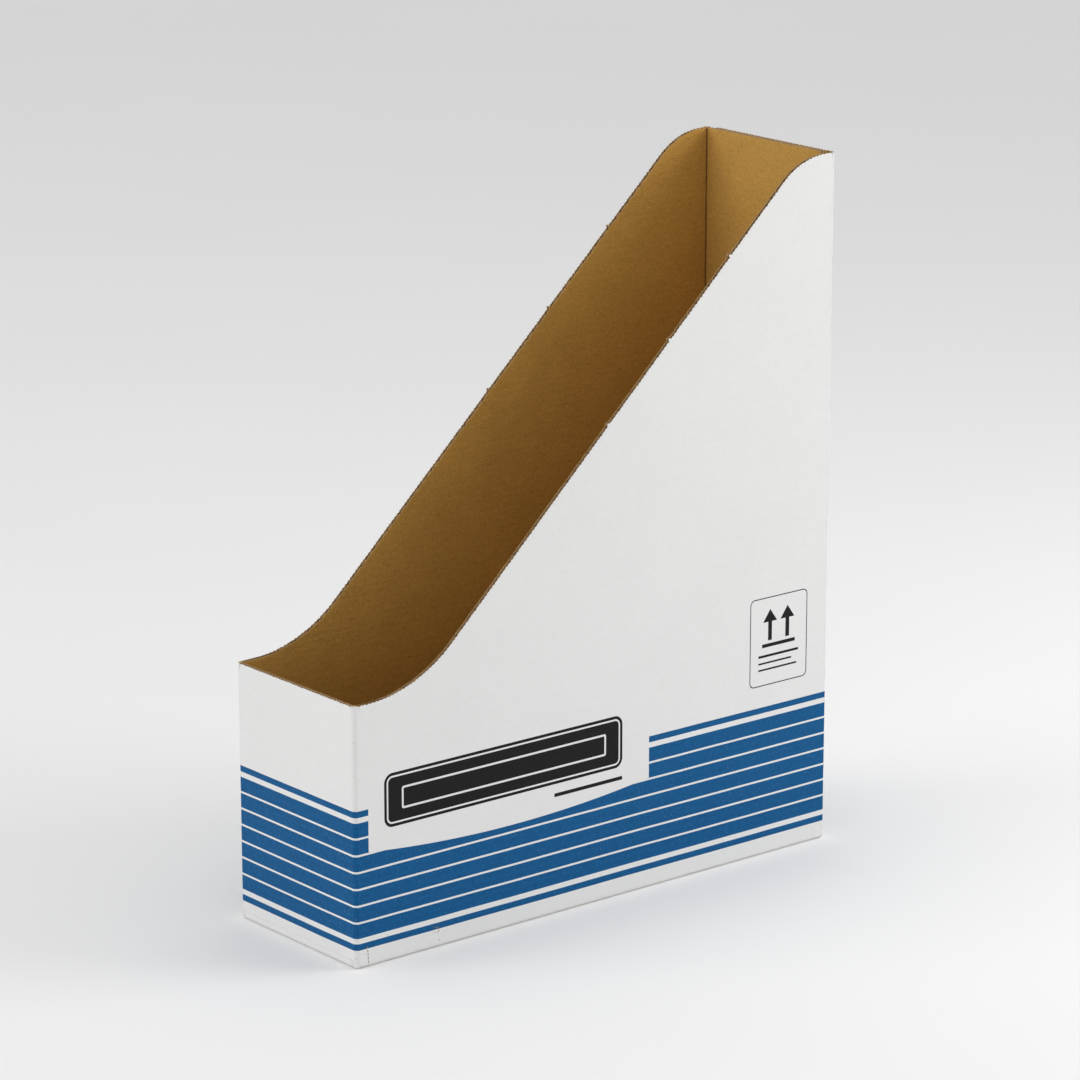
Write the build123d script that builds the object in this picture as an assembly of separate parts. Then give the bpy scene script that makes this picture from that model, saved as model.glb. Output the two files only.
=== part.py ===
"""Magazine file folded from one blank of white-faced E-flute board.

Five wall panels wrap round the box in the order outer spine, right side, front, left side, inner
spine, and the two spine panels are glued face to face. Four base flaps fold in under the walls.
Each panel is three papers: a printed outer liner, a fluted medium and a kraft inner liner. The
panels hinge on crushed creases, whose axes lie on the inner corners of the box. The three inner
base flaps lie on top of the outer one and hinge at its upper layer's inside corner.

Frame: origin under the middle of the box, +X to the right side, -Y to the low front, +Z up.
"""
import math
import os

from build123d import *

# Box
width = 80.0
depth = 258.0
height = 306.0
front_height = 112.0

# Board
board = 2.0
liner = 0.25
paper = 0.2
flute_pitch = 3.25
flute_flat = 0.2
glue_line = 0.02
spine_glue = 0.1

# Cut-away top edge of a side: a hollow curve off the front, a straight run, a round shoulder
front_flat = 6.0
hollow_radius = 65.0
shoulder_radius = 35.0
slope_angle = 43.2

# Spine
outer_spine_setback = 5.0
inner_spine_setback = 3.0
rear_crease_width = 2.2
cut_edge_rise = 0.4
hole_centre = 3.5
hole_width = 24.0
hole_top = 98.0
glue_strip_width = 12.0

# Base flaps
flap_gap = 1.5
layer_gap = 0.1
inner_flap_reach = 37.0
dust_flap_reach = 20.0
corner_relief = 3.0
crease_gap = 0.05

# Planes that the panels hinge on
half_width = width / 2
half_depth = depth / 2
inner_x = half_width - board
front_y = -half_depth + board
outer_spine_y = half_depth - board
inner_spine_y = outer_spine_y - spine_glue - board
upper_layer = 2 * board + layer_gap
flute_height = board - 2 * (liner + glue_line)
middle_y = (front_y + inner_spine_y) / 2
left_length = inner_spine_y - front_y
right_length = outer_spine_y - front_y

EAST, WEST = Vector(1, 0, 0), Vector(-1, 0, 0)
NORTH, SOUTH = Vector(0, 1, 0), Vector(0, -1, 0)
UP, DOWN = Vector(0, 0, 1), Vector(0, 0, -1)


def save(name, shape):
    """Write one sub-part under its node's name."""
    shape.label = name
    export_step(shape, f"parts/{name}.step")


def prism(face, thickness, start=0.0):
    """Thicken a flat outline along +Z from a given level."""
    return Pos(0, 0, start) * extrude(face, thickness, dir=(0, 0, 1))


def corrugated_sheet(face):
    """Fluted medium over an outline: flat-topped waves of one paper, running along local X."""
    box = face.bounding_box()
    underside_rise = flute_height - paper
    waves = math.ceil(box.size.Y / flute_pitch) + 1
    profile = ((0, 0), (flute_flat, 0), (0.5, underside_rise), (0.5 + flute_flat, underside_rise))
    underside = [
        (box.min.Y + (wave + place) * flute_pitch, rise)
        for wave in range(waves)
        for place, rise in profile
    ]
    upper_side = [(y, rise + paper) for y, rise in reversed(underside)]
    section = make_face(Polyline(*underside, *upper_side, close=True))
    across = Plane(origin=(box.min.X, 0, 0), x_dir=NORTH, z_dir=EAST)
    sheet = extrude(across * section, box.size.X, dir=(1, 0, 0))
    return sheet & prism(face, flute_height)


def write_panel(name, face, origin, along, outward):
    """Write a panel's three papers. The local Z axis points out of the box."""
    frame = Plane(origin=origin, x_dir=along, z_dir=outward)
    save(f"{name}_inner_liner", frame * prism(face, liner))
    save(f"{name}_medium", frame * (Pos(0, 0, liner + glue_line) * corrugated_sheet(face)))
    save(f"{name}_outer_liner", frame * prism(face, liner, board - liner))


def rectangle(left, right, low, high):
    """Face between four limits."""
    return Pos((left + right) / 2, (low + high) / 2) * Rectangle(right - left, high - low)


def side_outline(rear, foot):
    """Side panel seen from its right: the front is at low X, the foot at the bottom crease."""
    slope = math.radians(slope_angle)
    bend = hollow_radius + shoulder_radius
    straight_rise = height - front_height - bend * (1 - math.cos(slope))
    run = straight_rise / math.tan(slope) + bend * math.sin(slope)
    hollow_start = -half_depth + front_flat
    shoulder_end = hollow_start + run
    hollow = CenterArc((hollow_start, front_height + hollow_radius), hollow_radius, -90, slope_angle)
    shoulder = CenterArc((shoulder_end, height - shoulder_radius), shoulder_radius, 90, slope_angle)
    edges = [
        Line((front_y, foot), (front_y, front_height)),
        Line((front_y, front_height), hollow @ 0),
        hollow,
        Line(hollow @ 1, shoulder @ 1),
        shoulder,
        Line(shoulder @ 0, (rear, height)),
        Line((rear, height), (rear, foot)),
        Line((rear, foot), (front_y, foot)),
    ]
    return make_face(edges)


def finger_hole():
    """Hole seen from behind the box: straight along the top, round below."""
    radius = hole_width / 2
    round_centre = hole_top - hole_width + radius
    square = rectangle(-hole_centre - radius, -hole_centre + radius, round_centre, hole_top)
    return square + Pos(-hole_centre, round_centre) * Circle(radius)


def crease(name, middle, inward, run, length, raised=False, flat=0.0):
    """Crushed board at a fold: a quarter round on the inner corner, inward being along a panel.

    A raised flap lies one board above the foot, so its crease stands up to the panel's edge and
    reaches in to the flap. A flat stretch fills the gap that a set-back panel leaves.
    """
    frame = Plane(origin=middle, x_dir=inward, z_dir=run)
    section = Circle(board) & rectangle(-board, -crease_gap, -board, -crease_gap)
    top = board + layer_gap
    if flat:
        section += rectangle(-crease_gap, flat - crease_gap, -board, -crease_gap)
    if raised:
        section += rectangle(-board, -crease_gap, -crease_gap, top - crease_gap)
    fold = extrude(frame * section, length / 2, both=True)
    if raised:
        step = rectangle(-crease_gap, flap_gap - crease_gap, layer_gap, top - crease_gap)
        fold += extrude(frame * step, length / 2 - corner_relief - crease_gap, both=True)
    save(name, fold)


def write_walls():
    """The five panels of the sleeve."""
    right = side_outline(outer_spine_y, board)
    left = mirror(side_outline(inner_spine_y, upper_layer), about=Plane.YZ)
    front = rectangle(-inner_x, inner_x, upper_layer, front_height)
    inner_spine = rectangle(-inner_x + inner_spine_setback, inner_x, upper_layer, height)
    outer_spine = rectangle(
        -inner_x + rear_crease_width, half_width - outer_spine_setback, cut_edge_rise, height
    )
    write_panel("right_side", right, (inner_x, 0, 0), NORTH, EAST)
    write_panel("left_side", left, (-inner_x, 0, 0), SOUTH, WEST)
    write_panel("front", front, (0, front_y, 0), EAST, SOUTH)
    write_panel("inner_spine", inner_spine - finger_hole(), (0, inner_spine_y, 0), WEST, NORTH)
    write_panel("outer_spine", outer_spine - finger_hole(), (0, outer_spine_y, 0), WEST, NORTH)


def write_spine_glue():
    """Two upright strips of glue between the spine panels, clear of the finger hole."""
    inset = outer_spine_setback + glue_strip_width
    offset = half_width - inset
    strips = [
        rectangle(side * offset - glue_strip_width / 2, side * offset + glue_strip_width / 2,
                  upper_layer, height - upper_layer)
        for side in (-1, 1)
    ]
    frame = Plane(origin=(0, outer_spine_y - spine_glue, 0), x_dir=WEST, z_dir=NORTH)
    save("spine_glue", Compound(children=[frame * prism(strip, spine_glue) for strip in strips]))


def tapered_flap(length, reach, slow_end, fast_end):
    """Flap outline above its crease. Each end draws in by so many times its height."""
    foot = length / 2 - corner_relief
    return make_face(Polyline(
        (-foot + slow_end * flap_gap, flap_gap),
        (foot - fast_end * flap_gap, flap_gap),
        (foot - fast_end * reach, reach),
        (-foot + slow_end * reach, reach),
        close=True,
    ))


def write_base():
    """Four flaps: the outer one under the whole base, the other three in one layer above it."""
    outer = rectangle(-left_length / 2 + flap_gap, left_length / 2 - flap_gap,
                      0, 2 * inner_x - flap_gap)
    inner = tapered_flap(left_length, inner_flap_reach, 1, 2)
    front_dust = tapered_flap(2 * inner_x, dust_flap_reach, 2, 1)
    rear_dust = tapered_flap(2 * inner_x - inner_spine_setback, dust_flap_reach, 2, 1)
    rear_x = -inner_spine_setback / 2
    write_panel("base_outer_flap", outer, (inner_x, middle_y, board), SOUTH, DOWN)
    write_panel("base_inner_flap", inner, (-inner_x, middle_y, upper_layer), NORTH, DOWN)
    write_panel("front_dust_flap", front_dust, (0, front_y, upper_layer), WEST, DOWN)
    write_panel("rear_dust_flap", rear_dust, (rear_x, inner_spine_y, upper_layer), EAST, DOWN)


def write_creases():
    """Four upright creases at the corners and four along the foot."""
    rear_height = height - board
    low_height = front_height - board
    low_middle = board + low_height / 2
    rear_middle = board + rear_height / 2
    outer_height = height - cut_edge_rise
    outer_middle = cut_edge_rise + outer_height / 2
    crease("crease_front_right", (inner_x, front_y, low_middle), WEST, DOWN, low_height)
    crease("crease_front_left", (-inner_x, front_y, low_middle), NORTH, DOWN, low_height)
    crease("crease_rear_left", (-inner_x, inner_spine_y, rear_middle), EAST, DOWN, rear_height)
    crease("crease_rear_right", (inner_x, outer_spine_y, outer_middle), WEST, UP, outer_height,
           flat=rear_crease_width)
    crease("crease_base_right", (inner_x, 0, board), WEST, NORTH, right_length)
    crease("crease_base_left", (-inner_x, middle_y, board), EAST, SOUTH, left_length, raised=True)
    crease("crease_base_front", (0, front_y, board), NORTH, EAST, 2 * inner_x, raised=True)
    crease("crease_base_rear", (-inner_spine_setback / 2, inner_spine_y, board), SOUTH, WEST,
           2 * inner_x - inner_spine_setback, raised=True)


os.makedirs("parts", exist_ok=True)
write_walls()
write_spine_glue()
write_base()
write_creases()
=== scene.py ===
import math
import random

import bpy
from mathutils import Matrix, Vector
from mathutils.geometry import tessellate_polygon


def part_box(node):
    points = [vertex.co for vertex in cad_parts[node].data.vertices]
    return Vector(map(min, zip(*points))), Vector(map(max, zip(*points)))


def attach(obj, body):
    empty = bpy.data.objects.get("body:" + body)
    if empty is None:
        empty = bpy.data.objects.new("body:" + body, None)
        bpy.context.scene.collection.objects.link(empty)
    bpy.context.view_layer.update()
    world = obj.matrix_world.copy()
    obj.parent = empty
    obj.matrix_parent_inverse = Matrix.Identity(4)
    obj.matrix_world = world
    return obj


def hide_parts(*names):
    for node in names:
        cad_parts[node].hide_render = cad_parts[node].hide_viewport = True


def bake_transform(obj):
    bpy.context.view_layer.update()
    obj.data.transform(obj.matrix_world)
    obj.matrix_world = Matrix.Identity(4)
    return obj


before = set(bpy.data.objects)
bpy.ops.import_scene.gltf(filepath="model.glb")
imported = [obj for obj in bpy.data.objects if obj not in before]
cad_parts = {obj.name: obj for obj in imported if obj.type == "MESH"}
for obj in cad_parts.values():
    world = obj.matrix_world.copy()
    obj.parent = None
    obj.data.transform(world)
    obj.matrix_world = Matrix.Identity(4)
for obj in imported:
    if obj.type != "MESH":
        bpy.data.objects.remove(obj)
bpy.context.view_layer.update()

# Magazine file of white-faced corrugated board. Every panel is three papers: a printed outer one,
# a wavy medium and a kraft inner one. The folds between them are skins of their own.

MM = 0.001
EAST, WEST = Vector((1, 0, 0)), Vector((-1, 0, 0))
NORTH, SOUTH = Vector((0, 1, 0)), Vector((0, -1, 0))
UP, DOWN = Vector((0, 0, 1)), Vector((0, 0, -1))


def side(node, axis, high):
    """One limit of a CAD node in millimetres."""
    return round(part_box(node)[1 if high else 0]["xyz".index(axis)] / MM, 3)


# Planes of the box, in millimetres
inner_x = side("right_side_inner_liner", "x", False)
outer_x = side("right_side_outer_liner", "x", True)
front_y = side("front_inner_liner", "y", True)
inner_spine_y = side("inner_spine_inner_liner", "y", False)
outer_spine_y = side("outer_spine_inner_liner", "y", False)
height = side("right_side_outer_liner", "z", True)
front_height = side("front_outer_liner", "z", True)
foot = side("right_side_outer_liner", "z", False)
raised_foot = side("front_outer_liner", "z", False)
board = outer_x - inner_x
half_depth = board - front_y
liner = 0.25
paper = 0.2
pitch = 3.25
flap_gap = 1.5
flap_relief = 3.0
inner_spine_setback = 3.0

# Sloping edge of the sides
hollow_radius, shoulder_radius, slope = 65.0, 35.0, math.radians(43.2)
front_flat = 6.0

# Finger hole in the spine
hole_centre, hole_radius, hole_top, hole_round = 3.5, 12.0, 98.0, 86.0

# Cut edges: how far they are crushed in, the shear's teeth, and how far each liner is pressed
crush = 1.3
tooth_pitch, tooth_low, tooth_high = 1.9, 0.25, 0.55
outer_press, inner_press = -0.14, 0.10

# Torn bridges, small tabs that the cutting die leaves on the slope
TAB = "tab"
tab_width, tab_height = 1.5, 0.75
tab_levels = (207.0, 238.0, 269.0)

# Folds: thickness of the skin, and where the rear right one is split between its two panels
skin = 0.5
split_angle = 28.0

# Levels of the striped foot, in millimetres above the ground
field_low, field_high = 13.3, 62.7
lower_band, upper_band = (8.2, 11.0), (65.0, 67.7)
line_level, line_spacing, line_width = 20.05, 7.19, 0.88
lines_low, lines_high = 17.5, 58.5


# ---------------------------------------------------------------- materials
class Shader:
    """Small helper that writes node graphs as expressions."""

    def __init__(self, name):
        self.material = bpy.data.materials.new(name)
        self.material.use_nodes = True
        self.tree = self.material.node_tree
        self.bsdf = self.tree.nodes["Principled BSDF"]
        place = self.new("ShaderNodeTexCoord").outputs["Object"]
        self.place = self.vector("SCALE", place, scale=1 / MM)
        split = self.new("ShaderNodeSeparateXYZ")
        self.link(self.place, split.inputs[0])
        self.x, self.y, self.z = split.outputs

    def new(self, kind):
        return self.tree.nodes.new(kind)

    def link(self, value, socket):
        if hasattr(value, "is_linked"):
            self.tree.links.new(value, socket)
        else:
            socket.default_value = value

    def math(self, operation, a, b=0.0, c=0.0, clamp=False):
        node = self.new("ShaderNodeMath")
        node.operation = operation
        node.use_clamp = clamp
        for value, socket in zip((a, b, c), node.inputs):
            self.link(value, socket)
        return node.outputs[0]

    def vector(self, operation, a, b=None, scale=None):
        node = self.new("ShaderNodeVectorMath")
        node.operation = operation
        self.link(a, node.inputs[0])
        if b is not None:
            self.link(b, node.inputs[1])
        if scale is not None:
            node.inputs["Scale"].default_value = scale
        return node.outputs[0]

    def add(self, a, b):
        return self.math("ADD", a, b)

    def sub(self, a, b):
        return self.math("SUBTRACT", a, b)

    def mul(self, a, b):
        return self.math("MULTIPLY", a, b)

    def any(self, *masks):
        total = masks[0]
        for mask in masks[1:]:
            total = self.math("MAXIMUM", total, mask)
        return total

    def inside(self, value, low, high):
        return self.math("COMPARE", value, (low + high) / 2, (high - low) / 2)

    def box(self, u, v, left, right, low, high):
        return self.mul(self.inside(u, left, right), self.inside(v, low, high))

    def rounded(self, u, v, left, right, low, high, radius):
        """Signed distance from a rounded rectangle."""
        du = self.sub(self.math("ABSOLUTE", self.sub(u, (left + right) / 2)), (right - left) / 2 - radius)
        dv = self.sub(self.math("ABSOLUTE", self.sub(v, (low + high) / 2)), (high - low) / 2 - radius)
        outside_u = self.math("MAXIMUM", du, 0.0)
        outside_v = self.math("MAXIMUM", dv, 0.0)
        square = self.add(self.mul(outside_u, outside_u), self.mul(outside_v, outside_v))
        corner = self.math("MINIMUM", self.math("MAXIMUM", du, dv), 0.0)
        return self.sub(self.add(self.math("SQRT", square), corner), radius)

    def outline(self, distance, width):
        return self.math("COMPARE", distance, -width / 2, width / 2)

    def fill(self, distance):
        return self.math("LESS_THAN", distance, 0.0)

    def noise(self, size, detail=3.0, stretch=(1, 1, 1), roughness=0.55):
        """Noise with features of about that many millimetres."""
        node = self.new("ShaderNodeTexNoise")
        node.inputs["Scale"].default_value = 1.0 / size
        node.inputs["Detail"].default_value = detail
        node.inputs["Roughness"].default_value = roughness
        self.link(self.vector("MULTIPLY", self.place, stretch), node.inputs["Vector"])
        return node.outputs["Fac"]

    def range(self, value, low, high, out_low=0.0, out_high=1.0):
        node = self.new("ShaderNodeMapRange")
        for socket, number in zip(node.inputs[1:5], (low, high, out_low, out_high)):
            socket.default_value = number
        self.link(value, node.inputs[0])
        return node.outputs[0]

    def mix(self, factor, a, b, blend="MIX"):
        node = self.new("ShaderNodeMix")
        node.data_type = "RGBA"
        node.blend_type = blend
        self.link(factor, node.inputs[0])
        self.link(a, node.inputs[6])
        self.link(b, node.inputs[7])
        return node.outputs[2]

    def grey(self, value):
        node = self.new("ShaderNodeCombineColor")
        for socket in node.inputs:
            self.link(value, socket)
        return node.outputs[0]

    def finish(self, colour, roughness, bump, strength=1.0, specular=0.3):
        self.link(colour, self.bsdf.inputs["Base Color"])
        self.link(roughness, self.bsdf.inputs["Roughness"])
        self.bsdf.inputs["Specular IOR Level"].default_value = specular
        node = self.new("ShaderNodeBump")
        node.inputs["Strength"].default_value = strength
        node.inputs["Distance"].default_value = MM
        self.link(bump, node.inputs["Height"])
        self.link(node.outputs[0], self.bsdf.inputs["Normal"])
        return self.material


def rgb(red, green, blue):
    """sRGB bytes to a linear colour."""
    linear = [
        c / 12.92 if c <= 0.04045 else ((c + 0.055) / 1.055) ** 2.4
        for c in (red / 255, green / 255, blue / 255)
    ]
    return (*linear, 1.0)


WHITE = rgb(226, 226, 225)
BLUE = rgb(2, 84, 136)
BLACK = rgb(8, 8, 10)
KRAFT = rgb(188, 145, 72)
CORE = rgb(186, 160, 122)


def foot_bands(s):
    """Ink mask of the striped foot, the same on every panel."""
    waver = s.mul(s.sub(s.noise(70, 2), 0.5), 0.5)
    ragged = s.mul(s.sub(s.noise(0.7, 2), 0.5), 0.16)
    level = s.add(s.z, s.add(waver, ragged))
    near_line = s.math("PINGPONG", s.sub(level, line_level), line_spacing / 2)
    on_line = s.math("LESS_THAN", near_line, line_width / 2)
    line = s.mul(on_line, s.inside(level, lines_low, lines_high))
    field = s.math("SUBTRACT", s.inside(level, field_low, field_high), line, clamp=True)
    return s.any(field, s.inside(level, *lower_band), s.inside(level, *upper_band))


def handling_mark(s, u, left, low, high):
    """Rounded frame with two upright arrows over a bar and three plain rules."""
    mark_width, corner_radius, frame_width = 33.0, 2.6, 0.45
    base = high - 19.5
    shaft_half, shaft_height, head_low, tip, head_slope = 1.1, 9.0, 8.4, 14.0, 0.72
    edge = s.rounded(u, s.z, left, left + mark_width, low, high, corner_radius)
    masks = [s.outline(edge, frame_width)]
    for centre in (left + 11.5, left + 21.5):
        reach = s.math("ABSOLUTE", s.sub(u, centre))
        shaft = s.mul(s.math("LESS_THAN", reach, shaft_half), s.inside(s.z, base, base + shaft_height))
        slant = s.mul(s.sub(base + tip, s.z), head_slope)
        head = s.mul(s.math("LESS_THAN", reach, slant), s.inside(s.z, base + head_low, base + tip))
        masks += [shaft, head]
    # The bar under the arrows and three rules: left and right end, depth below the arrows
    for start, end, drop, thickness in (
        (7.0, 26.0, 2.9, 1.6), (5.0, 28.0, 7.3, 1.1), (5.0, 24.0, 10.3, 0.8), (5.0, 27.0, 13.2, 0.8),
    ):
        masks.append(s.box(u, s.z, left + start, left + end, base - drop, base - drop + thickness))
    return s.any(*masks)


def right_graphics(s, bands):
    """Window in the stripes with a dark plate, and the handling mark."""
    u = s.add(s.y, half_depth)
    window_left, window_right, window_top = 6.9, 155.8, 68.5
    bow_middle, bow_level, bow = 81.0, 44.7, 0.00085
    # Boxes are left, right, low and high
    plate_box, plate_radius, rim_depth, rim_width = (15.0, 141.0, 57.5, 80.5), 4.2, 1.3, 0.75
    field_box, field_radius, field_line = (24.0, 132.0, 64.2, 73.8), 1.0, 0.9
    rule_box = (104.0, 141.0, 51.8, 53.4)
    mark_left, mark_low, mark_high = 212.5, 77.2, 116.7
    sag = s.mul(s.math("POWER", s.math("ABSOLUTE", s.sub(u, bow_middle)), 2.0), bow)
    above_bow = s.math("GREATER_THAN", s.z, s.add(sag, bow_level))
    below_top = s.math("LESS_THAN", s.z, window_top)
    window = s.mul(s.inside(u, window_left, window_right), s.mul(above_bow, below_top))
    bands = s.mul(bands, s.math("SUBTRACT", 1.0, window))
    plate_edge = s.rounded(u, s.z, *plate_box, plate_radius)
    rim = s.outline(s.add(plate_edge, rim_depth), rim_width)
    dark = s.math("SUBTRACT", s.fill(plate_edge), rim, clamp=True)
    field = s.outline(s.rounded(u, s.z, *field_box, field_radius), field_line)
    dark = s.math("SUBTRACT", dark, field, clamp=True)
    rule = s.box(u, s.z, *rule_box)
    mark = handling_mark(s, u, mark_left, mark_low, mark_high)
    return bands, s.any(dark, rule, mark)


def left_graphics(s, bands):
    """The handling mark again, near the spine."""
    mark_left, mark_low, mark_high = -119.0, 75.5, 115.5
    return bands, handling_mark(s, s.mul(s.y, -1.0), mark_left, mark_low, mark_high)


def spine_graphics(s, bands):
    """Writing label: a frame, four rules and a header patch."""
    # Boxes are left, right, low and high
    label_box, label_radius, label_line = (-31.4, 24.5, 107.5, 294.4), 0.3, 0.85
    rule_left, rule_right, rule_width = -28.4, 20.8, 0.8
    rule_levels = (144.8, 179.6, 214.8, 249.5)
    patch_box = (-29.2, -3.8, 283.8, 291.8)
    field_box, field_radius, field_line = (-1.8, 21.8, 284.6, 291.0), 0.8, 1.0
    u = s.mul(s.x, -1.0)
    frame_line = s.outline(s.rounded(u, s.z, *label_box, label_radius), label_line)
    rules = [
        s.box(u, s.z, rule_left, rule_right, level - rule_width / 2, level + rule_width / 2)
        for level in rule_levels
    ]
    patch = s.box(u, s.z, *patch_box)
    field = s.outline(s.rounded(u, s.z, *field_box, field_radius), field_line)
    return s.any(bands, frame_line, patch, *rules), field


def printed(name, graphics=None, wear=True):
    """White coated liner with two inks, a faint washboard from the flutes, specks and worn folds."""
    s = Shader(name)
    blue = foot_bands(s)
    dark = 0.0
    if graphics:
        blue, dark = graphics(s, blue)
    flute = s.math("SINE", s.mul(s.z, 2 * math.pi / pitch))
    mottle = s.noise(2.6, 4)
    cloud = s.noise(45, 3)
    grain = s.noise(0.35, 2)
    fibre = s.noise(1.1, 3, (1, 0.35, 2.4))
    shade = s.add(
        s.add(s.mul(s.sub(mottle, 0.5), 0.06), s.mul(s.sub(cloud, 0.5), 0.05)),
        s.add(s.mul(flute, 0.003), s.mul(s.sub(grain, 0.5), 0.06)),
    )
    white = s.mix(1.0, WHITE, s.grey(s.add(shade, 1.0)), "MULTIPLY")
    speck = s.range(fibre, 0.69, 0.78, 0.0, 0.34)
    white = s.mix(speck, white, rgb(176, 168, 156))
    ink_shade = s.add(s.add(s.mul(s.sub(s.noise(1.2, 4), 0.5), 0.62), s.mul(flute, 0.03)), 1.0)
    ink = s.mix(1.0, BLUE, s.grey(ink_shade), "MULTIPLY")
    pinhole = s.range(s.noise(0.55, 1), 0.73, 0.80, 0.0, 0.55)
    ink = s.mix(pinhole, ink, rgb(150, 178, 208))
    colour = s.mix(blue, white, ink)
    black = s.mix(s.mul(pinhole, 0.5), BLACK, rgb(70, 70, 76))
    colour = s.mix(s.mul(dark, 0.995) if graphics else 0.0, colour, black)
    if wear:
        # Cracked coating along the foot fold and the upright folds, and a few scuffs
        cracks = s.range(s.noise(1.3, 3, (1, 1, 0.45)), 0.59, 0.66)
        low_fold = s.range(s.z, 0.7, 2.4, 1.0, 0.0)
        by_front = s.range(s.math("ABSOLUTE", s.add(s.y, half_depth)), 0.25, 0.9, 1.0, 0.0)
        by_corner = s.range(s.math("ABSOLUTE", s.x), outer_x - 1.4, outer_x - 0.9)
        front_fold = s.mul(by_front, by_corner)
        on_right = s.math("GREATER_THAN", s.x, outer_x - 0.3)
        # Two spots that lean back from the foot of the right side, in boxes behind its front fold
        split_box, dent_box = (6.2, 6.75, 0.0, 9.0), (40.0, 43.5, 3.0, 10.0)
        behind_fold = s.add(s.add(s.y, half_depth), s.mul(s.z, 0.08))
        dash = s.math("GREATER_THAN", s.math("PINGPONG", s.z, 0.8), 0.25)
        split = s.mul(s.box(behind_fold, s.z, *split_box), dash)
        dents = s.mul(
            s.box(behind_fold, s.z, *dent_box), s.range(s.noise(1.5, 1), 0.60, 0.64, 0.0, 0.5)
        )
        zones = s.any(s.mul(low_fold, 0.22), s.mul(front_fold, 0.5))
        worn = s.any(s.mul(cracks, zones), s.mul(on_right, s.any(split, dents)))
        colour = s.mix(s.mul(worn, 0.8), colour, rgb(150, 124, 88))
    relief = s.add(s.mul(flute, 0.007), s.add(s.mul(mottle, 0.06), s.mul(grain, 0.035)))
    relief = s.add(relief, s.mul(cloud, 0.5))
    roughness = s.range(mottle, 0.3, 0.7, 0.50, 0.62)
    return s.finish(colour, roughness, relief, 0.9, 0.16)


def kraft(name, base, along=(1, 0.3, 2.6), deep=1.0, washboard=0.010, painted_corner_shade=0.0):
    """Bare recycled paper: long fibres, light and dark flecks, the flutes showing through, and optionally
    a painted shade line down the inside corners.
    """
    s = Shader(name)
    flute = s.math("SINE", s.mul(s.z, 2 * math.pi / pitch))
    fibres = s.noise(1.5, 5, along, 0.65)
    blotch = s.noise(14, 4)
    cloud = s.noise(60, 2)
    grain = s.noise(0.75, 3, (1, 1, 1), 0.7)
    shade = s.add(
        s.add(s.mul(s.sub(fibres, 0.5), 0.34), s.mul(s.sub(blotch, 0.5), 0.20)),
        s.add(
            s.mul(s.sub(grain, 0.5), 0.85),
            s.add(s.mul(s.sub(cloud, 0.5), 0.14), s.mul(flute, 0.008)),
        ),
    )
    colour = s.mix(1.0, base, s.grey(s.add(s.mul(shade, deep), 1.0)), "MULTIPLY")
    dark_fleck = s.range(s.noise(1.1, 3, (1, 0.6, 1.8)), 0.64, 0.72, 0.0, 0.5)
    pale_fleck = s.range(s.noise(1.3, 3, (0.7, 1, 1.8)), 0.65, 0.74, 0.0, 0.45)
    colour = s.mix(dark_fleck, colour, rgb(96, 68, 38))
    colour = s.mix(pale_fleck, colour, rgb(214, 182, 132))
    # Painted shade: a dark brown line down each inside corner, where two walls meet
    from_side = s.sub(inner_x, s.math("ABSOLUTE", s.x))
    from_end = s.math("MINIMUM", s.sub(s.y, front_y), s.sub(inner_spine_y, s.y))
    reach = s.add(0.30, s.mul(s.noise(4.0, 2, (1, 1, 0.6)), 0.45))
    corner = s.mul(s.math("LESS_THAN", from_side, reach), s.math("LESS_THAN", from_end, reach))
    # Painted shade: the inside corners are darkened towards brown by this strength
    colour = s.mix(s.mul(corner, painted_corner_shade), colour, rgb(88, 52, 22))
    relief = s.add(s.add(s.mul(fibres, 0.09), s.mul(flute, washboard)), s.mul(grain, 0.06))
    relief = s.add(relief, s.mul(cloud, 0.5))
    return s.finish(colour, s.range(fibres, 0.3, 0.7, 0.8, 0.92), relief, 1.0, 0.18)


print_right = printed("print_right", right_graphics)
print_left = printed("print_left", left_graphics)
print_front = printed("print_front")
print_spine = printed("print_spine", spine_graphics, wear=False)
print_fold = printed("print_fold")
# The inner liners carry the painted shade line down the inside corners
inner_kraft = kraft("inner_kraft", KRAFT, painted_corner_shade=0.65)
base_kraft = kraft("base_kraft", KRAFT, (2.6, 0.3, 1), 1.0, 0.0)
core = kraft("core_edge", CORE, (1, 1, 1), 1.6, 0.0)
medium_paper = kraft("medium_paper", rgb(150, 120, 82), (1, 0.4, 2), 1.3, 0.0)


def glue_film():
    s = Shader("dried_glue")
    streak = s.noise(3.0, 4, (1, 1, 0.25))
    colour = s.mix(streak, rgb(214, 204, 170), rgb(236, 230, 208))
    return s.finish(colour, s.range(streak, 0.3, 0.7, 0.3, 0.5), s.mul(streak, 0.15), 0.8, 0.5)


# ---------------------------------------------------------------- mesh tools
def make_object(name, points, faces, kinds, materials):
    """Object from millimetre points; kinds gives each face's material."""
    mesh = bpy.data.meshes.new(name)
    mesh.from_pydata([tuple(p * MM for p in point) for point in points], [], faces)
    for material in materials:
        mesh.materials.append(material)
    mesh.polygons.foreach_set("material_index", kinds)
    mesh.polygons.foreach_set("use_smooth", [False] * len(faces))
    mesh.update()
    thing = bpy.data.objects.new(name, mesh)
    bpy.context.scene.collection.objects.link(thing)
    return thing


class Sheet:
    """Plane of a panel: s runs along it, t up or inwards, d outwards through the board."""

    def __init__(self, origin, along, outward):
        self.origin, self.along, self.outward = Vector(origin), along, outward
        self.up = outward.cross(along)

    def at(self, s, t, d):
        return self.origin + self.along * s + self.up * t + self.outward * d


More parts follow.
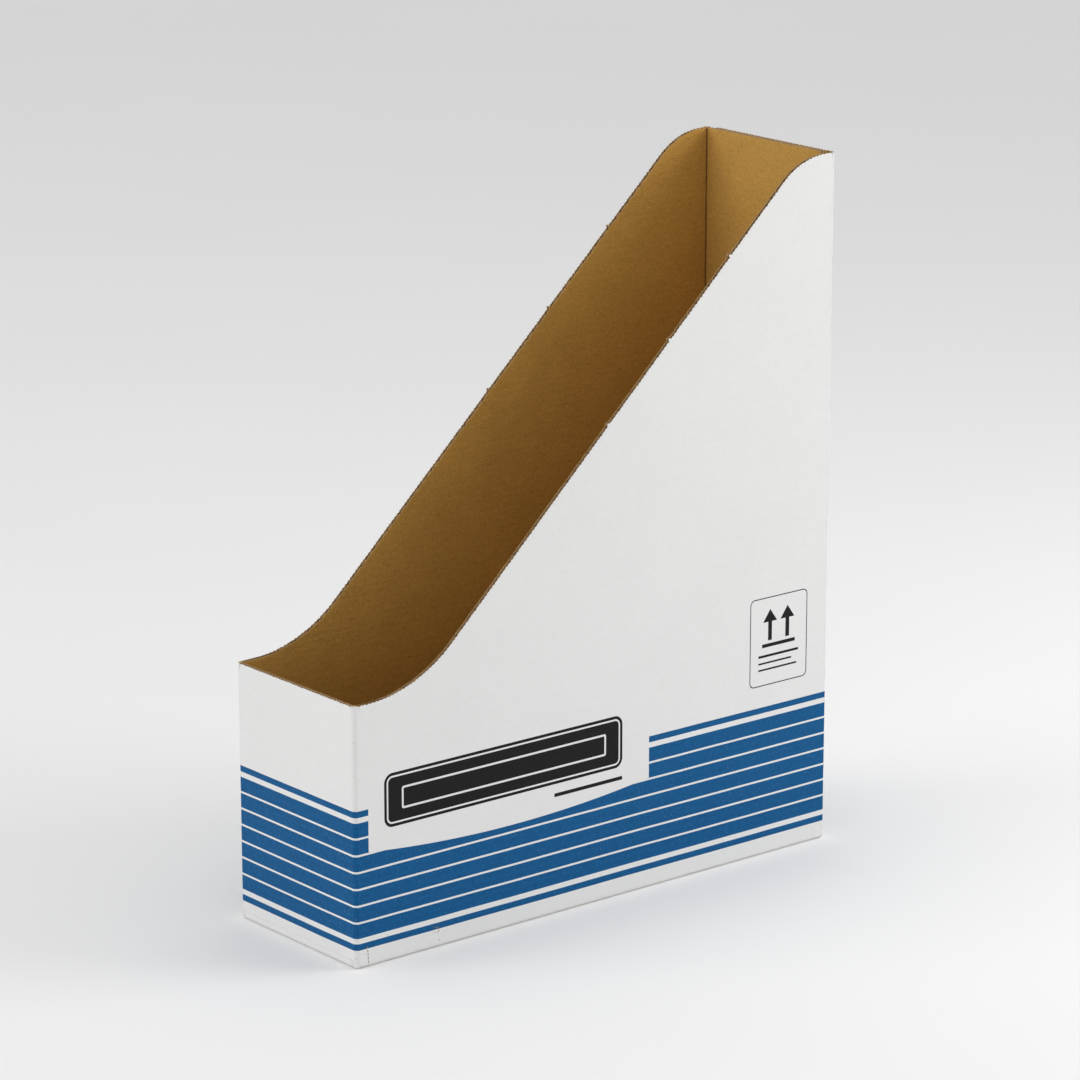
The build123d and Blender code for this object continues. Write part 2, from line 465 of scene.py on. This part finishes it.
def loop_points(corners, seed):
    """Resample a closed outline of (s, t, cut) corners.

    A corner's cut speaks for the run that leaves it: False is a fold, True a cut edge with fine
    teeth, and TAB a torn bridge that stands out. Returns the points, whether each is cut, and how
    far its edge is drawn in.
    """
    cut_step, fold_step, notch_share = 0.45, 4.0, 0.26
    pick = random.Random(seed)
    plain, cuts, teeth = [], [], []
    run = 0.0
    depth = 0.2
    for i, (s, t, cut) in enumerate(corners):
        s2, t2, _ = corners[(i + 1) % len(corners)]
        length = math.hypot(s2 - s, t2 - t)
        count = max(1, math.ceil(length / (cut_step if cut else fold_step)))
        before = corners[i - 1][2]
        for k in range(count):
            f = k / count
            plain.append((s + (s2 - s) * f, t + (t2 - t) * f))
            here = run + length * f
            phase = (here / tooth_pitch) % 1.0
            if phase < notch_share:
                depth = pick.uniform(tooth_low, tooth_high)
            flagged = cut if k else (cut and before)
            cuts.append(1.0 if (cut or before) and (flagged or k == 0) else 0.0)
            if cut == TAB and k:
                teeth.append(-tab_height * pick.uniform(0.8, 1.1))
            else:
                teeth.append(depth * (1 - abs(2 * phase - 1)) if flagged else 0.0)
        run += length if cut else 0.0
    return plain, cuts, teeth


def inward(plain, i):
    """Unit-width inward offset at a vertex of an anticlockwise loop."""
    (ax, ay), (bx, by), (cx, cy) = plain[i - 1], plain[i], plain[(i + 1) % len(plain)]
    first = Vector((-(by - ay), bx - ax)).normalized()
    second = Vector((-(cy - by), cx - bx)).normalized()
    total = first + second
    if total.length < 0.2:
        return first
    total.normalize()
    return total / max(0.5, total.dot(first))


def plate(name, sheet, loops, low, high, shift, materials):
    """One paper of a panel. Cut edges are toothed and pressed towards the middle by shift."""
    points, faces, kinds, rings = [], [], [], []
    for plain, cuts, teeth in loops:
        ring = []
        for i, (s, t) in enumerate(plain):
            n = inward(plain, i)
            edge = (s + n.x * teeth[i], t + n.y * teeth[i])
            inner = (s + n.x * crush, t + n.y * crush)
            base = len(points)
            points.append(sheet.at(*inner, high))
            points.append(sheet.at(*edge, high + shift * cuts[i]))
            points.append(sheet.at(*edge, low + shift * cuts[i]))
            points.append(sheet.at(*inner, low))
            ring.append((base, inner))
        count = len(ring)
        for i in range(count):
            a, b = ring[i][0], ring[(i + 1) % count][0]
            faces += [(a, a + 1, b + 1, b), (a + 1, a + 2, b + 2, b + 1), (a + 2, a + 3, b + 3, b + 2)]
            kinds += [0, 1, 2]
        rings.append(ring)
    flat = [index for ring in rings for index, _ in ring]
    for triangle in tessellate_polygon([[Vector((*p, 0)) for _, p in ring] for ring in rings]):
        a, b, c = (flat[k] for k in triangle)
        pa, pb, pc = points[a], points[b], points[c]
        if (pb - pa).cross(pc - pa).dot(sheet.outward) < 0:
            b, c = c, b
        faces += [(a, b, c), (c + 3, b + 3, a + 3)]
        kinds += [0, 2]
    return make_object(name, points, faces, kinds, materials)


def corrugation(name, sheet, spans, low, high, pressed_top=False, pressed_foot=False):
    """Wavy medium between the liners. spans(t) gives the strips of paper at that level."""
    clearance, crushed_height, steps_per_wave = 0.02, 0.8, 10
    rise = (board - 2 * liner - paper) / 2 - clearance
    step = pitch / steps_per_wave
    rows = [low + k * step for k in range(int((high - low) / step) + 1)]
    points, faces = [], []
    previous = {}
    for t in rows:
        wave = 2 * math.pi * (t - low) / pitch
        from_edge = crush
        if pressed_top:
            from_edge = min(from_edge, high - t)
        if pressed_foot:
            from_edge = min(from_edge, t - low)
        gain = crushed_height + (1 - crushed_height) * from_edge / crush
        current = {}
        for key, left, right, crushed_left, crushed_right in spans(t):
            ids = []
            stations = (
                (left, crushed_left), (left + crush, False),
                (right - crush, False), (right, crushed_right),
            )
            for s, end in stations:
                height_here = min(gain, crushed_height) if end else gain
                d = board / 2 + rise * math.sin(wave) * height_here
                ids.append(len(points))
                points.append(sheet.at(s, t, d + paper / 2))
                points.append(sheet.at(s, t, d - paper / 2))
            current[key] = ids
            if key in previous:
                old = previous[key]
                for k in range(3):
                    a, b, c, e = old[k], old[k + 1], ids[k + 1], ids[k]
                    faces += [(a, b, c, e), (e + 1, c + 1, b + 1, a + 1)]
                for a, e in ((old[0], ids[0]), (ids[3], old[3])):
                    faces.append((a, e, e + 1, a + 1))
            else:
                for k in range(3):
                    faces.append((ids[k + 1], ids[k], ids[k] + 1, ids[k + 1] + 1))
        for key, old in previous.items():
            if key not in current:
                for k in range(3):
                    faces.append((old[k], old[k + 1], old[k + 1] + 1, old[k] + 1))
        previous = current
    for old in previous.values():
        for k in range(3):
            faces.append((old[k], old[k + 1], old[k + 1] + 1, old[k] + 1))
    return make_object(name, points, faces, [0] * len(faces), [medium_paper])


def stand_for(thing, node, body):
    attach(thing, body)
    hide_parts(node)


def panel(name, body, sheet, corners, spans, low, high, outer_print, inner_look, holes=(), **pressed):
    """The three papers of one panel."""
    loops = [loop_points(corners, name)] + [loop_points(hole, name + "_hole") for hole in holes]
    outer = plate(
        f"{name}_outer_paper", sheet, loops, board - liner, board, outer_press, [outer_print, core, core]
    )
    stand_for(outer, f"{name}_outer_liner", body)
    inner = plate(
        f"{name}_inner_paper", sheet, loops, 0.0, liner, inner_press, [core, core, inner_look]
    )
    stand_for(inner, f"{name}_inner_liner", body)
    waves = corrugation(f"{name}_flutes", sheet, spans, low, high, **pressed)
    stand_for(waves, f"{name}_medium", body)


# ---------------------------------------------------------------- outlines
def arc(centre, radius, start, end, count):
    return [
        (centre[0] + radius * math.cos(a), centre[1] + radius * math.sin(a))
        for a in (start + (end - start) * k / count for k in range(count + 1))
    ]


bend = hollow_radius + shoulder_radius
straight_rise = height - front_height - bend * (1 - math.cos(slope))
slope_run = straight_rise / math.tan(slope) + bend * math.sin(slope)
hollow_start = -half_depth + front_flat
shoulder_end = hollow_start + slope_run
hollow_centre = (hollow_start, front_height + hollow_radius)
shoulder_centre = (shoulder_end, height - shoulder_radius)
hollow = arc(hollow_centre, hollow_radius, -math.pi / 2, -math.pi / 2 + slope, 40)
shoulder = arc(shoulder_centre, shoulder_radius, math.pi / 2 + slope, math.pi / 2, 24)


def slope_edge():
    """The cut edge from the front's top to the spine's, with the torn bridges on its straight run."""
    (s0, t0), (s1, t1) = hollow[-1], shoulder[0]
    length = math.hypot(s1 - s0, t1 - t0)
    tabs = []
    for level in tab_levels:
        middle = (level - t0) * length / (t1 - t0)
        for along, flag in ((middle - tab_width / 2, True), (middle + tab_width / 2, TAB)):
            tabs.append((s0 + (s1 - s0) * along / length, t0 + (t1 - t0) * along / length, flag))
    return [(s, t, True) for s, t in hollow] + tabs + [(s, t, True) for s, t in shoulder]


def side_corners(rear, low):
    """Anticlockwise seen from outside the right side: foot, rear edge, top, slope, front edge."""
    edge = slope_edge()
    edge.reverse()
    foot_run = [(front_y, low, False), (rear, low, False), (rear, height, True)]
    return [*foot_run, *edge, (front_y, front_height, False)]


def slope_limit(t):
    """Where the medium ends at a level, just behind the sloping edge."""
    behind = 0.15
    if t <= front_height:
        return front_y
    if t < hollow[-1][1]:
        drop = hollow_centre[1] - t
        return hollow_start + math.sqrt(max(0.0, hollow_radius**2 - drop**2)) + behind
    if t < shoulder[0][1]:
        return hollow[-1][0] + (t - hollow[-1][1]) / math.tan(slope) + behind
    rise = t - shoulder_centre[1]
    back = math.sqrt(max(0.0, shoulder_radius**2 - rise**2))
    return min(shoulder_end, shoulder_end - back + behind)


def mirrored(corners):
    """The same outline seen from the other side, still anticlockwise."""
    flipped = [(-s, t, cut) for s, t, cut in corners]
    flipped.reverse()
    cuts = [cut for _, _, cut in flipped]
    # a flag belongs to the run that leaves its corner, which now is the run that led to it
    return [(s, t, cuts[(i + 1) % len(cuts)]) for i, (s, t, _) in enumerate(flipped)]


def rectangle(left, right, low, high, cuts):
    """Corners from the lower left; cuts flag the foot, right, top and left runs."""
    return [(left, low, cuts[0]), (right, low, cuts[1]), (right, high, cuts[2]), (left, high, cuts[3])]


def hole_corners():
    """Clockwise, so that inward points away from the hole."""
    left, right = -hole_centre - hole_radius, -hole_centre + hole_radius
    turn = arc((-hole_centre, hole_round), hole_radius, 0.0, -math.pi, 28)
    loop = [(left, hole_top), (right, hole_top), *turn]
    return [(s, t, True) for s, t in loop]


def hole_limits(t):
    if t > hole_top or t < hole_round - hole_radius:
        return None
    reach = hole_radius
    if t < hole_round:
        reach = math.sqrt(max(0.01, hole_radius**2 - (hole_round - t) ** 2))
    return -hole_centre - reach, -hole_centre + reach


def spine_spans(left, right, cut_left, cut_right):
    def spans(t):
        limits = hole_limits(t)
        if limits is None:
            key = "above" if t > hole_top else "below"
            return [(key, left, right, cut_left, cut_right)]
        return [
            ("near", left, limits[0] - 0.1, cut_left, True),
            ("far", limits[1] + 0.1, right, True, cut_right),
        ]

    return spans


# ---------------------------------------------------------------- walls
panel(
    "right_side", "right_side", Sheet((inner_x, 0, 0), NORTH, EAST), side_corners(outer_spine_y, foot),
    lambda t: [("all", slope_limit(t), outer_spine_y, t > front_height, False)],
    foot, height, print_right, inner_kraft, pressed_top=True,
)
panel(
    "left_side", "left_side", Sheet((-inner_x, 0, 0), SOUTH, WEST),
    mirrored(side_corners(inner_spine_y, raised_foot)),
    lambda t: [("all", -inner_spine_y, -slope_limit(t), False, t > front_height)],
    raised_foot, height, print_left, inner_kraft, pressed_top=True,
)
panel(
    "front", "front_panel", Sheet((0, front_y, 0), EAST, SOUTH),
    rectangle(-inner_x, inner_x, raised_foot, front_height, (False, False, True, False)),
    lambda t: [("all", -inner_x, inner_x, False, False)],
    raised_foot, front_height, print_front, inner_kraft, pressed_top=True,
)
inner_edge = -side("inner_spine_outer_liner", "x", True)
panel(
    "inner_spine", "spine", Sheet((0, inner_spine_y, 0), WEST, NORTH),
    rectangle(inner_edge, inner_x, raised_foot, height, (False, False, True, True)),
    spine_spans(inner_edge, inner_x, True, False),
    raised_foot, height, print_fold, inner_kraft, holes=[hole_corners()], pressed_top=True,
)
outer_left = -side("outer_spine_outer_liner", "x", True)
outer_right = -side("outer_spine_outer_liner", "x", False)
outer_foot = side("outer_spine_outer_liner", "z", False)
panel(
    "outer_spine", "spine", Sheet((0, outer_spine_y, 0), WEST, NORTH),
    rectangle(outer_left, outer_right, outer_foot, height, (True, True, True, False)),
    spine_spans(outer_left, outer_right, False, True),
    outer_foot, height, print_spine, inner_kraft, holes=[hole_corners()],
    pressed_top=True, pressed_foot=True,
)


# ---------------------------------------------------------------- base flaps
def flap(name, sheet, corners, reach, left_limit, right_limit):
    """A base flap, which is its own body."""
    panel(
        name, name, sheet, corners,
        lambda t: [("all", left_limit(t), right_limit(t), True, True)],
        corners[0][1], reach, print_fold, base_kraft, pressed_top=True,
    )


def tapered(length, reach, slow_end, fast_end):
    """Outline of a flap whose ends draw in, with their limits at a height above the fold."""
    foot_half = length / 2 - flap_relief
    left = lambda t: -foot_half + slow_end * t
    right = lambda t: foot_half - fast_end * t
    corners = [
        (left(flap_gap), flap_gap, False), (right(flap_gap), flap_gap, True),
        (right(reach), reach, True), (left(reach), reach, True),
    ]
    return corners, left, right


middle_y = (front_y + inner_spine_y) / 2
left_length = inner_spine_y - front_y
level = raised_foot
base_reach = inner_x - side("base_outer_flap_outer_liner", "x", False)
base_front, base_rear = (side("base_outer_flap_outer_liner", "y", high) for high in (False, True))
half_base = (base_rear - base_front) / 2
flap(
    "base_outer_flap", Sheet((inner_x, middle_y, foot), SOUTH, DOWN),
    rectangle(-half_base, half_base, 0.0, base_reach, (False, True, True, True)), base_reach,
    lambda t: -half_base, lambda t: half_base,
)
for name, sheet, length, reach, slow_end, fast_end in (
    ("base_inner_flap", Sheet((-inner_x, middle_y, level), NORTH, DOWN), left_length,
     side("base_inner_flap_outer_liner", "x", True) + inner_x, 1, 2),
    ("front_dust_flap", Sheet((0, front_y, level), WEST, DOWN), 2 * inner_x,
     side("front_dust_flap_outer_liner", "y", True) - front_y, 2, 1),
    ("rear_dust_flap", Sheet((-inner_spine_setback / 2, inner_spine_y, level), EAST, DOWN),
     2 * inner_x - inner_spine_setback,
     inner_spine_y - side("rear_dust_flap_outer_liner", "y", False), 2, 1),
):
    corners, left, right = tapered(length, reach, slow_end, fast_end)
    flap(name, sheet, corners, reach, left, right)


# ---------------------------------------------------------------- creases
def fold_profile(raised=False, flat=0.0, start=0.0, stop=90.0, count=14):
    """Section of a fold round its inner corner: outer skin first, then the inside.

    raised stands up to a panel one layer higher, and flat reaches on past the corner.
    """
    flattening, clearance = 0.06, 0.1
    depth = board - skin
    outer = []
    if raised:
        outer.append((-board, raised_foot - foot, True))
    for k in range(count + 1):
        angle = math.radians(start + (stop - start) * k / count)
        radius = board - flattening * math.sin(2 * angle) ** 2
        outer.append((-radius * math.cos(angle), -radius * math.sin(angle), True))
    if flat:
        outer.append((flat, -board, True))
        inside = [(flat, -depth, False), (0.0, -depth, False)]
    elif stop < 90.0:
        angle = math.radians(stop)
        inside = [(-depth * math.cos(angle), -depth * math.sin(angle), False), (-depth, 0.0, False)]
    elif raised:
        top = raised_foot - foot
        step = [(0.0, clearance), (flap_gap, clearance), (flap_gap, top), (0.0, top)]
        inside = [(u, v, False) for u, v in step]
    else:
        inside = [(0.0, -0.02, False), (-0.02, 0.0, False)]
    return outer + inside


def crease(name, node, corner, inward_axis, run_axis, low, high, profile, outer_print, seed):
    """Fold skin swept along a run. Up is the run axis crossed with the inward axis."""
    pick = random.Random(seed)
    rise_axis = run_axis.cross(inward_axis)
    spacing, wobble_depth, plain_margin = 2.5, 0.06, 0.05
    count = max(2, int((high - low) / spacing))
    places = [low + (high - low) * k / count for k in range(count + 1)]
    if run_axis.z:
        # The foot of an upright fold rounds off into the corner
        heights = (place * run_axis.z for place in places)
        levels = sorted({round(level, 4) for level in heights if level > foot})
        levels = [foot * (1 - math.cos(math.radians(turn))) for turn in range(12, 91, 13)] + levels
        places = [z * run_axis.z for z in levels]
        if run_axis.z < 0:
            places.reverse()
        count = len(places) - 1
    points, faces, kinds = [], [], []
    size = len(profile)
    for place in places:
        drop = max(0.0, foot - place * run_axis.z) / foot if run_axis.z else 0.0
        shrink = math.sqrt(max(0.02, 1 - drop * drop))
        for u, v, outer in profile:
            arc_part = outer and min(u, v) > -board + plain_margin
            wobble = pick.uniform(-wobble_depth, 0.0) if arc_part else 0.0
            scale = shrink * (1.0 + wobble / board)
            across = inward_axis * (u * scale) + rise_axis * (v * scale)
            points.append(Vector(corner) + across + run_axis * place)
    for k in range(count):
        for i in range(size):
            j = (i + 1) % size
            a, b = k * size + i, k * size + j
            faces.append((a, b, b + size, a + size))
            kinds.append(0 if profile[i][2] and profile[j][2] else 1)
    faces.append(tuple(range(size - 1, -1, -1)))
    faces.append(tuple(count * size + i for i in range(size)))
    kinds += [1, 1]
    thing = make_object(name, points, faces, kinds, [outer_print, core])
    for polygon, kind in zip(thing.data.polygons, kinds):
        polygon.use_smooth = kind == 0
    if node:
        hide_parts(node)
    return thing


upright = fold_profile()
raised = fold_profile(raised=True)
lap = inner_x + outer_left
lip = 0.1

thing = crease("fold_front_right", "crease_front_right", (inner_x, front_y, 0), WEST, DOWN,
               -front_height, -lip, upright, print_front, seed=2)
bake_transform(thing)
thing = crease("fold_front_left", "crease_front_left", (-inner_x, front_y, 0), NORTH, DOWN,
               -front_height, -lip, upright, print_front, seed=3)
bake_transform(thing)
thing = crease("fold_rear_left", "crease_rear_left", (-inner_x, inner_spine_y, 0), EAST, DOWN,
               -height, -lip, upright, print_fold, seed=4)
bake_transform(thing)

# The sleeve's linkage is opened at this corner: one part of the skin stays on each panel
thing = crease("fold_rear_right", "crease_rear_right", (inner_x, outer_spine_y, 0), WEST, UP,
               lip, height - lip, fold_profile(stop=split_angle, count=5), print_fold, seed=5)
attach(thing, "right_side")
thing = crease("fold_rear_right_lap", None, (inner_x, outer_spine_y, 0), WEST, UP,
               lip, height - lip, fold_profile(start=split_angle, flat=lap), print_fold, seed=5)
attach(thing, "spine")

thing = crease("fold_base_right", "crease_base_right", (inner_x, 0, foot), WEST, NORTH,
               front_y, outer_spine_y, upright, print_fold, seed=6)
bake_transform(thing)
thing = crease("fold_base_left", "crease_base_left", (-inner_x, 0, foot), EAST, SOUTH,
               -inner_spine_y, -front_y, raised, print_fold, seed=7)
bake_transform(thing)
thing = crease("fold_base_front", "crease_base_front", (0, front_y, foot), NORTH, EAST,
               -inner_x, inner_x, raised, print_front, seed=8)
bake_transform(thing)
thing = crease("fold_base_rear", "crease_base_rear", (0, inner_spine_y, foot), SOUTH, WEST,
               inner_edge, inner_x, raised, print_fold, seed=9)
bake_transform(thing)

# The glue keeps its CAD shape
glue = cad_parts["spine_glue"]
film = glue_film()
glue.data.materials.clear()
glue.data.materials.append(film)


# ---------------------------------------------------------------- stage, light and camera
def area(name, place, target, size, power):
    """Square soft light turned to a target."""
    data = bpy.data.lights.new(name, "AREA")
    data.energy = power
    data.size = size
    lamp = bpy.data.objects.new(name, data)
    lamp.location = place
    lamp.rotation_euler = (Vector(target) - Vector(place)).to_track_quat("-Z", "Y").to_euler()
    bpy.context.scene.collection.objects.link(lamp)


def pale_floor():
    s = Shader("pale_floor")
    soft = s.noise(300, 2)
    colour = s.mix(soft, rgb(250, 250, 250), rgb(246, 246, 246))
    material = s.finish(colour, 0.8, s.mul(soft, 0.01), 0.1, 0.1)
    reach = 3000
    points = [(-reach, -reach, 0), (reach, -reach, 0), (reach, reach, 0), (-reach, reach, 0)]
    floor = make_object("floor", points, [(0, 1, 2, 3)], [0], [material])


pale_floor()
ambient = 0.68
world = bpy.data.worlds.new("studio")
world.use_nodes = True
world.node_tree.nodes["Background"].inputs[0].default_value = (1, 1, 1, 1)
world.node_tree.nodes["Background"].inputs[1].default_value = ambient
bpy.context.scene.world = world
bpy.context.scene.view_settings.view_transform = "Standard"
# The key lights the front. The fill stands close to the rear, so the right side darkens forwards
middle = (0.0, 0.0, 0.15)
area("key", (-0.6, -1.7, 0.9), middle, size=1.4, power=11)
area("fill", (0.6, 0.75, 0.6), (0, 0.12, 0.15), size=0.6, power=4.2)

cam_data = bpy.data.cameras.new("camera")
cam_data.lens = 151.0
cam_data.sensor_width = 36.0
camera = bpy.data.objects.new("camera", cam_data)
bpy.context.scene.collection.objects.link(camera)
camera.location = (1.420, -1.163, 0.661)
camera.rotation_euler = (Vector(middle) - camera.location).to_track_quat("-Z", "Y").to_euler()
bpy.context.scene.camera = camera
